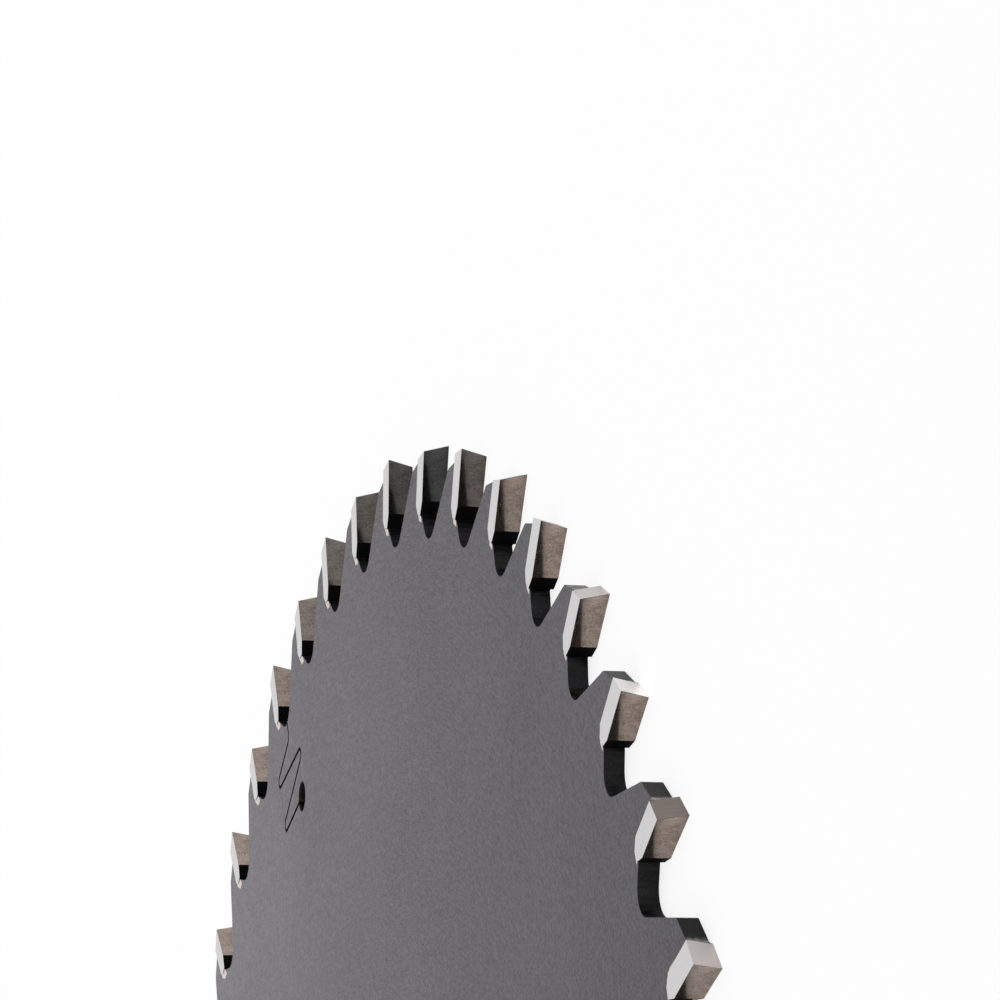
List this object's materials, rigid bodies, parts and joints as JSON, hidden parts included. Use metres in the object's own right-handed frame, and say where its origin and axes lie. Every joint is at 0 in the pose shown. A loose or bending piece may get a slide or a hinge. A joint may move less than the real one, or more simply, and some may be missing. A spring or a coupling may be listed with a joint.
{
  "type": "circular saw blade",
  "caption": "Thin flat toothed disc of steel with carbide cutting tips brazed round its rim and a plain central bore, for clamping on a saw's spindle.",
  "frame": {"origin": "centre of the bore, at half the thickness of the plate", "axes": "+Z along the spindle axis, out of the face that the picture shows; +Y through the cutting edge of tip_01. The blade lies flat. Seen from +Z the teeth cut clockwise."},
  "size_m": [0.216, 0.216, 0.0024],
  "materials": {
    "saw_steel": "dull satin ground, dark grey",
    "carbide": "bright ground hard metal",
    "silver_braze": "dull silver braze"
  },
  "bodies": {
    "root": {"blade_plate": "saw_steel", "tip_01": "carbide", "tip_02": "carbide", "tip_03": "carbide", "tip_04": "carbide", "tip_05": "carbide", "tip_06": "carbide", "tip_07": "carbide", "tip_08": "carbide", "tip_09": "carbide", "tip_10": "carbide", "tip_11": "carbide", "tip_12": "carbide", "tip_13": "carbide", "tip_14": "carbide", "tip_15": "carbide", "tip_16": "carbide", "tip_17": "carbide", "tip_18": "carbide", "tip_19": "carbide", "tip_20": "carbide", "tip_21": "carbide", "tip_22": "carbide", "tip_23": "carbide", "tip_24": "carbide", "tip_25": "carbide", "tip_26": "carbide", "tip_27": "carbide", "tip_28": "carbide", "tip_29": "carbide", "tip_30": "carbide", "tip_31": "carbide", "tip_32": "carbide", "tip_33": "carbide", "tip_34": "carbide", "tip_35": "carbide", "tip_36": "carbide", "tip_37": "carbide", "tip_38": "carbide", "tip_39": "carbide", "tip_40": "carbide", "tip_41": "carbide", "tip_42": "carbide", "tip_43": "carbide", "tip_44": "carbide", "tip_45": "carbide", "tip_46": "carbide", "tip_47": "carbide", "tip_48": "carbide", "braze_joints": "silver_braze"}
  },
  "joints": []
}
